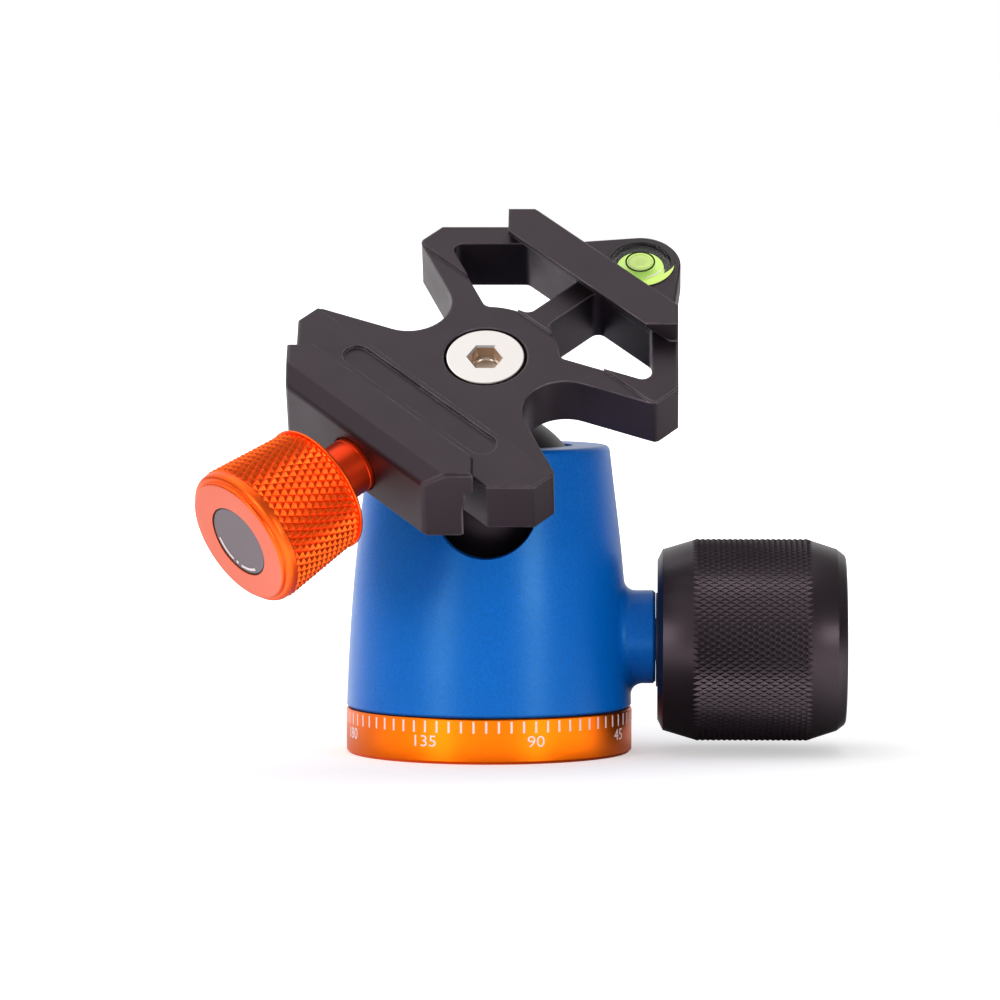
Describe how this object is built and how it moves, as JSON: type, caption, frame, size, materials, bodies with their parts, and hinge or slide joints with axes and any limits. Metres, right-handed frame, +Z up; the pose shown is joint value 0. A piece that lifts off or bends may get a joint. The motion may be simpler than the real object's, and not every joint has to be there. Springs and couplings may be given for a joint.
{
  "type": "tripod ball head",
  "caption": "Single-control tripod ball head: tapered body with drop notch, knurled lock knob, panning base ring and a cut-away screw-knob dovetail clamp with bubble level.",
  "frame": {"origin": "centre of the underside, on the pan axis and the tripod thread's axis", "axes": "+Z up along the pan axis; -Y towards the drop notch; +X towards the locking knob; at rest the clamp leans towards -Y with its knob to the left"},
  "size_m": [0.0885, 0.0683, 0.076],
  "materials": {
    "orange_anodised": "bright orange anodised, satin",
    "blue_coat": "fine-grained blue powder coat",
    "black_anodised": "black anodised, satin",
    "black_knob": "black anodised, knurled",
    "ball_black": "black anodised, polished",
    "steel": "turned steel",
    "screw_steel": "satin nickel",
    "brass": "turned brass",
    "acetal": "machined pale acetal",
    "dark_plastic": "moulded",
    "pad_rubber": "fine-ribbed rubber",
    "level_fluid": "yellow-green fluid",
    "level_glass": "clear",
    "grey_disc": "grey anodised, printed arcs"
  },
  "bodies": {
    "base": {"pan_ring": "orange_anodised", "grip_pad": "pad_rubber", "hub_plate": "black_anodised", "spindle": "steel", "pan_washer": "dark_plastic", "cover_screw_1": "steel", "cover_screw_2": "steel", "cover_screw_3": "steel"},
    "head": {"housing": "blue_coat", "floor_ring": "brass", "liner": "acetal", "screw_bush": "brass"},
    "cup": {"ball_cup": "acetal"},
    "lock_plunger": {"plunger": "steel"},
    "lock_knob": {"main_knob": "black_knob", "knob_cap": "black_anodised", "knob_washer": "acetal", "lock_screw": "steel"},
    "ball_neck": {"ball": "ball_black"},
    "clamp": {"platform": "black_anodised", "clamp_screw": "screw_steel", "level_cup": "dark_plastic", "level_fluid": "level_fluid", "level_glass": "level_glass"},
    "jaw": {"moving_jaw": "black_anodised", "jaw_washer": "steel", "guide_pin_left": "steel", "guide_pin_right": "steel"},
    "jaw_knob": {"clamp_knob": "orange_anodised", "knob_disc": "grey_disc", "clamp_stud": "steel"}
  },
  "joints": [
    {"name": "pan", "type": "hinge", "parent": "base", "child": "head", "pos_m": [0, 0, 0.0064], "axis": [0, 0, 1], "continuous": true},
    {"name": "cup_lift", "type": "slide", "parent": "head", "child": "cup", "axis": [0, 0, 1], "range_m": [-0.000375, 0]},
    {"name": "plunger_slide", "type": "slide", "parent": "head", "child": "lock_plunger", "axis": [1, 0, 0], "range_m": [0, 0.0015]},
    {"name": "lock_turn", "type": "hinge", "parent": "lock_plunger", "child": "lock_knob", "pos_m": [0.03, 0, 0.0157], "axis": [1, 0, 0], "range_deg": [0, 540]},
    {"name": "ball_tilt", "type": "hinge", "parent": "head", "child": "ball_neck", "pos_m": [0, 0, 0.0346], "axis": [1, 0, 0], "range_deg": [-66.2, 38.8]},
    {"name": "clamp_spin", "type": "hinge", "parent": "ball_neck", "child": "clamp", "pos_m": [0, 0, 0.0346], "axis": [0, -0.6587, 0.7524], "continuous": true},
    {"name": "jaw_slide", "type": "slide", "parent": "clamp", "child": "jaw", "axis": [0.7071, 0.532, 0.4658], "range_m": [-0.0024, 0.0022]},
    {"name": "jaw_turn", "type": "hinge", "parent": "jaw", "child": "jaw_knob", "pos_m": [-0.02687, -0.03655, 0.03556], "axis": [0.7071, 0.532, 0.4658], "range_deg": [-1080, 990]}
  ],
  "couplings": [
    {"joint": "lock_turn", "follows": "plunger_slide", "rad_per_m": 6283.2},
    {"joint": "cup_lift", "follows": "plunger_slide", "ratio": -0.25},
    {"joint": "jaw_turn", "follows": "jaw_slide", "rad_per_m": 7854}
  ]
}
